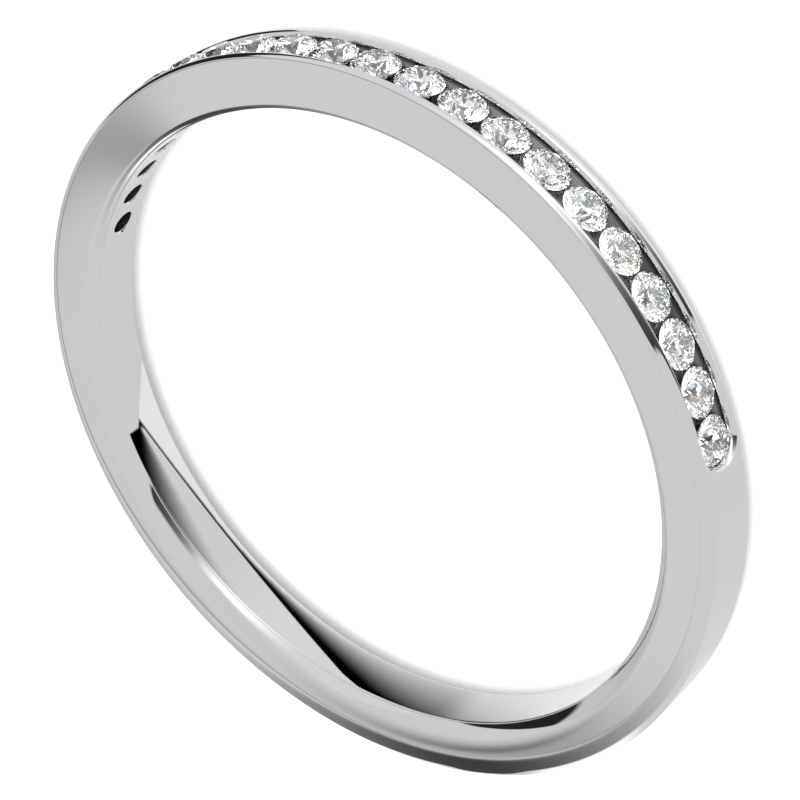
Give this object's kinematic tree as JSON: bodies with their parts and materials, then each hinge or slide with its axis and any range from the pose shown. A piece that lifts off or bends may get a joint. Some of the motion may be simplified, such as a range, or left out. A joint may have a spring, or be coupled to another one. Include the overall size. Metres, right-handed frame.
{
  "type": "channel set band ring",
  "caption": "Slim polished ring with a round-ended channel along its upper part that holds a row of round brilliant stones between its rails.",
  "frame": {"origin": "on the ring's axis, at the plane that the ring rests on when it lies on its side", "axes": "+Z along the ring's axis, up out of the surface it lies on; +Y from the axis to the middle of the stone row; +X to the right of it"},
  "size_m": [0.0203, 0.0203, 0.0021],
  "materials": {
    "white_gold": "high polish",
    "stone": "polished facets"
  },
  "bodies": {
    "root": {"band": "white_gold", "stone_01": "stone", "stone_02": "stone", "stone_03": "stone", "stone_04": "stone", "stone_05": "stone", "stone_06": "stone", "stone_07": "stone", "stone_08": "stone", "stone_09": "stone", "stone_10": "stone", "stone_11": "stone", "stone_12": "stone", "stone_13": "stone", "stone_14": "stone", "stone_15": "stone", "stone_16": "stone", "stone_17": "stone", "stone_18": "stone", "stone_19": "stone", "stone_20": "stone", "stone_21": "stone"}
  },
  "joints": []
}
